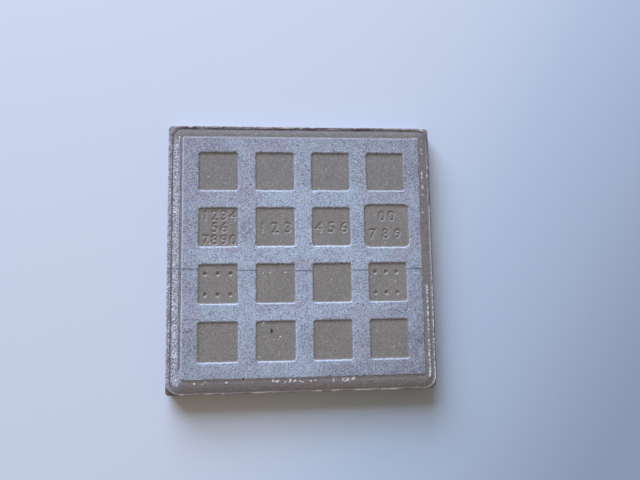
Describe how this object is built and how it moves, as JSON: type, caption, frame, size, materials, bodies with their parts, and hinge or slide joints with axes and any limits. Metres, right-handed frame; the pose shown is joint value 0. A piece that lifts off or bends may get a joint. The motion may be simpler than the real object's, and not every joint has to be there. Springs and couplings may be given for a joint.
{
  "type": "ceramic wall tile",
  "caption": "Square pressed ceramic wall tile lying on its glazed face, with a raised pad of shallow keying recesses inside a rolled border and a thin lip on its back.",
  "frame": {"origin": "centre of the glazed face, which lies on the floor", "axes": "+Z out of the back, +X and +Y along the sides; the recess rows count down from the +Y side"},
  "size_m": [0.1, 0.1, 0.007],
  "materials": {
    "fired_clay": "matt fired body with a thin uneven engobe on the raised back, plain glaze on the face"
  },
  "bodies": {
    "root": {"wall_tile": "fired_clay"}
  },
  "joints": []
}
